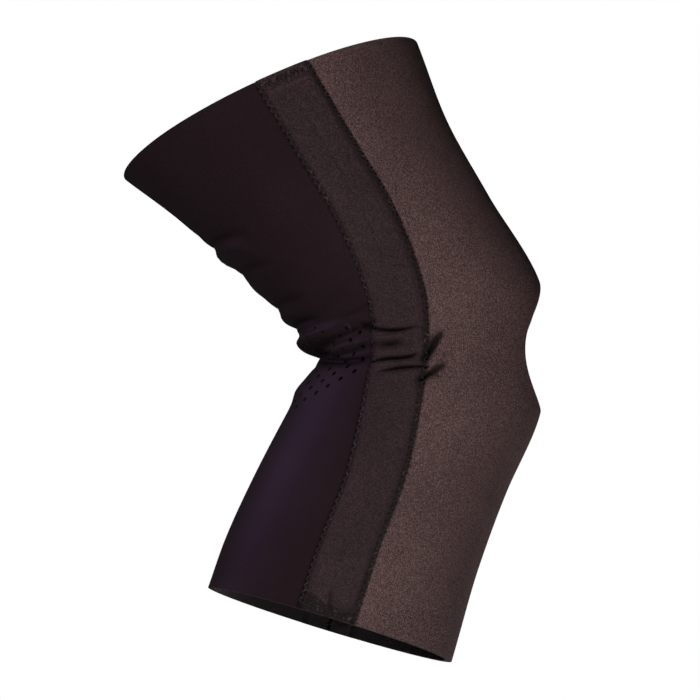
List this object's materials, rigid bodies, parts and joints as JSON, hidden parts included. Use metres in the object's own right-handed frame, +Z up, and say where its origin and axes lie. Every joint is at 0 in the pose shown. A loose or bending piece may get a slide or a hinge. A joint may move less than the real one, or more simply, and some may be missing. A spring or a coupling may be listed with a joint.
{
  "type": "knee brace",
  "caption": "Open-patella neoprene knee sleeve, bent as worn, with a zigzag-sewn pocket tape and flat spiral stays down each side.",
  "frame": {"origin": "on the knee's flexion axis, in the sleeve's middle plane", "axes": "+X forward, the kneecap side; +Y to the wearer's left; +Z up, with the thigh end leaning back and the calf end running down and back"},
  "size_m": [0.2181, 0.1558, 0.325],
  "materials": {
    "front_neoprene": "fine-knit nylon jersey on neoprene, brown-black",
    "back_neoprene": "smooth nylon jersey on neoprene, near black",
    "tape_fabric": "fine-knit nylon jersey, brown-black",
    "thread": "twisted nylon thread, black",
    "stay_steel": "bright spring steel",
    "cap_steel": "plated sheet steel"
  },
  "bodies": {
    "thigh_section": {"left_front_stay": "stay_steel", "left_front_stay_upper_cap": "cap_steel", "left_front_tape_seam": "thread", "left_knee_tape": "tape_fabric", "left_panel_seam": "thread", "left_patella_bridge": "front_neoprene", "left_pocket_top_stitch": "thread", "left_rear_stay": "stay_steel", "left_rear_stay_upper_cap": "cap_steel", "left_rear_tape_seam": "thread", "left_thigh_tape": "tape_fabric", "popliteal_panel": "back_neoprene", "right_front_stay": "stay_steel", "right_front_stay_upper_cap": "cap_steel", "right_front_tape_seam": "thread", "right_knee_tape": "tape_fabric", "right_panel_seam": "thread", "right_patella_bridge": "front_neoprene", "right_pocket_top_stitch": "thread", "right_rear_stay": "stay_steel", "right_rear_stay_upper_cap": "cap_steel", "right_rear_tape_seam": "thread", "right_thigh_tape": "tape_fabric", "thigh_back_panel": "back_neoprene", "thigh_front_panel": "front_neoprene"},
    "calf_section": {"calf_back_panel": "back_neoprene", "calf_front_panel": "front_neoprene", "left_calf_tape": "tape_fabric", "left_front_stay_lower_cap": "cap_steel", "left_pocket_bottom_stitch": "thread", "left_rear_stay_lower_cap": "cap_steel", "right_calf_tape": "tape_fabric", "right_front_stay_lower_cap": "cap_steel", "right_pocket_bottom_stitch": "thread", "right_rear_stay_lower_cap": "cap_steel"}
  },
  "joints": [
    {"name": "knee_flexion", "type": "hinge", "parent": "thigh_section", "child": "calf_section", "pos_m": [0, 0, 0], "axis": [0, 1, 0], "range_deg": [-54, 36], "stiffness_Nm_per_rad": 1.2, "deforming": ["left_front_stay", "left_front_tape_seam", "left_knee_tape", "left_panel_seam", "left_patella_bridge", "left_rear_stay", "left_rear_tape_seam", "popliteal_panel", "right_front_stay", "right_front_tape_seam", "right_knee_tape", "right_panel_seam", "right_patella_bridge", "right_rear_stay", "right_rear_tape_seam"]}
  ]
}
